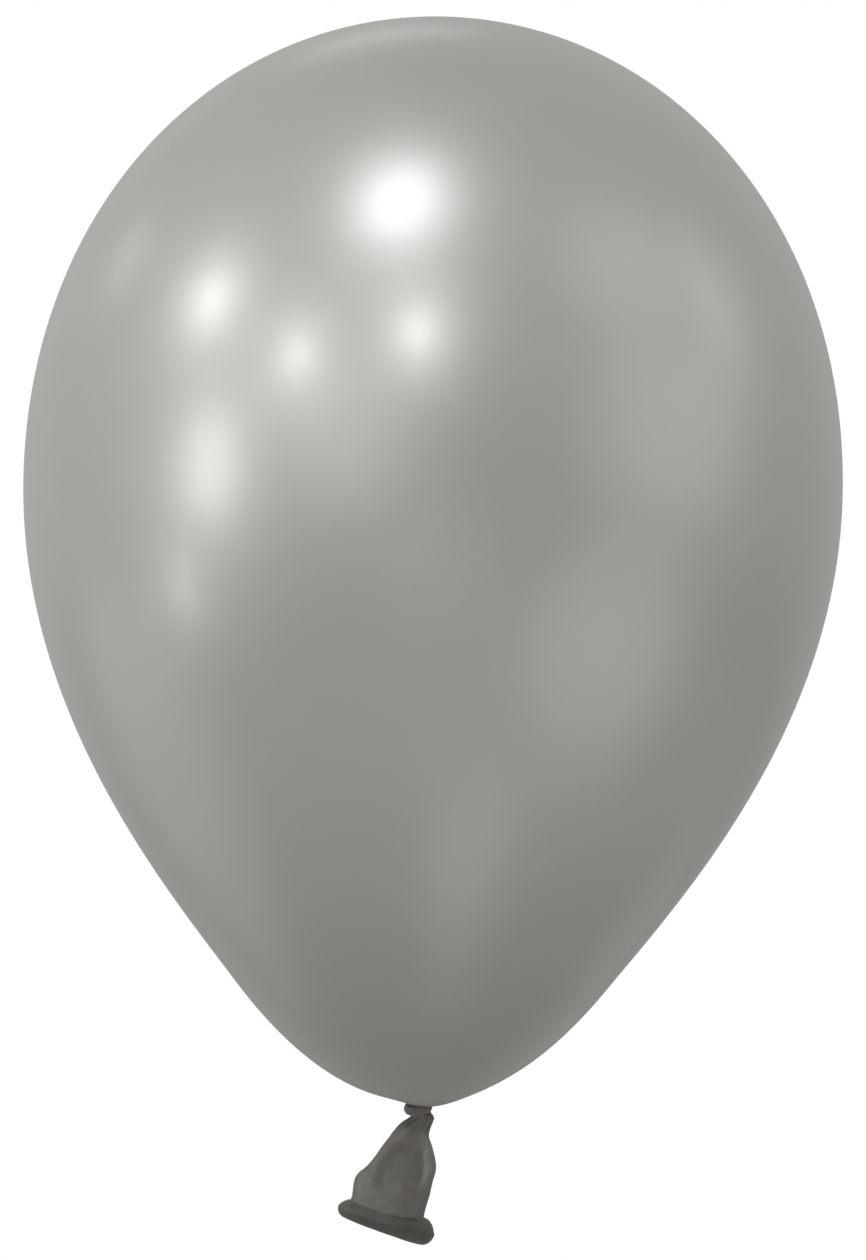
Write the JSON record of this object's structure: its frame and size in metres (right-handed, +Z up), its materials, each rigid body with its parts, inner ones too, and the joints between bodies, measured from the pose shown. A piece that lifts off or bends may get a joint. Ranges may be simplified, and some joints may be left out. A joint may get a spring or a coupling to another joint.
{
  "type": "tied metallic latex party balloon",
  "caption": "Pearl silver latex balloon, blown up and knotted, with its limp tail sleeve and rolled lip hanging from the knot.",
  "frame": {"origin": "middle of the knot under the envelope, where a ribbon or a stick's cup holds the balloon", "axes": "+Z up along the balloon's axis from the knot to the crown; +X to the right as pictured, with the pictured side facing -Y"},
  "size_m": [0.28, 0.28, 0.4193],
  "materials": {
    "blown_skin": "pearl metallic pigment, stretched smooth, satin gloss",
    "knot_skin": "darker unstretched latex, gathered",
    "tail_skin": "darker unstretched latex, soft sheen",
    "lip_skin": "dark unstretched latex, rolled"
  },
  "bodies": {
    "balloon": {"envelope": "blown_skin", "neck": "knot_skin", "knot": "knot_skin"},
    "tail": {"tail_sleeve": "tail_skin", "lip": "lip_skin"}
  },
  "joints": [
    {"name": "tail_swing", "type": "hinge", "parent": "balloon", "child": "tail", "pos_m": [0, 0, -0.0046], "axis": [0, 1, 0], "range_deg": [-30, 30], "stiffness_Nm_per_rad": 0.0004}
  ]
}
